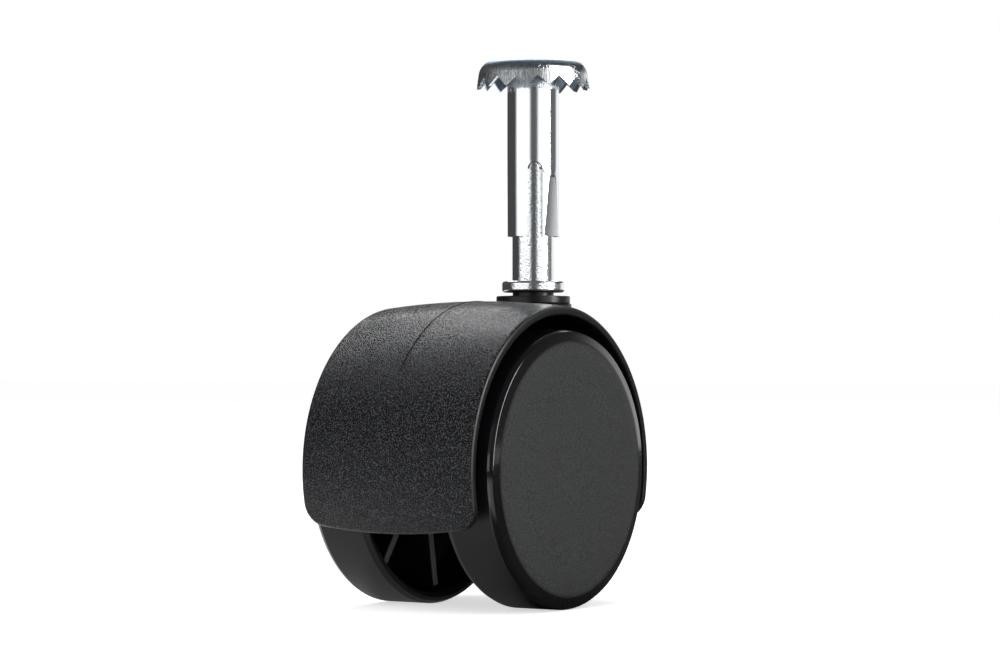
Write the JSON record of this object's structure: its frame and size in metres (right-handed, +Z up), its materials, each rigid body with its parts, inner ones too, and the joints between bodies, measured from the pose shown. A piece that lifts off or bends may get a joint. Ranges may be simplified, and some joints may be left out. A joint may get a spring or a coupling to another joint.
{
  "type": "twin wheel castor",
  "caption": "Hooded twin wheel furniture castor that swivels on a grip neck stem, with the toothed sheet steel socket that holds it in a leg.",
  "frame": {"origin": "on the stem's axis, on the top face of the stem's collar, which seats against the leg", "axes": "+Z up along the stem, +X the way the castor leads, Y along the wheels' axle"},
  "size_m": [0.0613, 0.042, 0.1026],
  "materials": {
    "hood": "spark eroded grain",
    "wheel": "fine matte face, glossy rim",
    "bush": "semi gloss",
    "bright_zinc": "bright zinc plate with draw marks",
    "steel": "plain drawn"
  },
  "bodies": {
    "stem": {"stem": "bright_zinc", "stem_snap_ring": "steel"},
    "hood": {"hood": "hood", "swivel_bush": "bush", "axle": "steel", "axle_clip_left": "steel", "axle_clip_right": "steel"},
    "wheel_left": {"wheel_left": "wheel"},
    "wheel_right": {"wheel_right": "wheel"},
    "socket": {"socket": "bright_zinc"}
  },
  "joints": [
    {"name": "swivel", "type": "hinge", "parent": "stem", "child": "hood", "pos_m": [0, 0, 0], "axis": [0, 0, 1], "continuous": true},
    {"name": "wheel_left_spin", "type": "hinge", "parent": "hood", "child": "wheel_left", "pos_m": [-0.01817, 0, -0.03475], "axis": [0, 1, 0], "continuous": true},
    {"name": "wheel_right_spin", "type": "hinge", "parent": "hood", "child": "wheel_right", "pos_m": [-0.01817, 0, -0.03475], "axis": [0, 1, 0], "continuous": true},
    {"name": "socket_slide", "type": "slide", "parent": "stem", "child": "socket", "axis": [0, 0, 1], "range_m": [-0.0084, 0.055]}
  ]
}
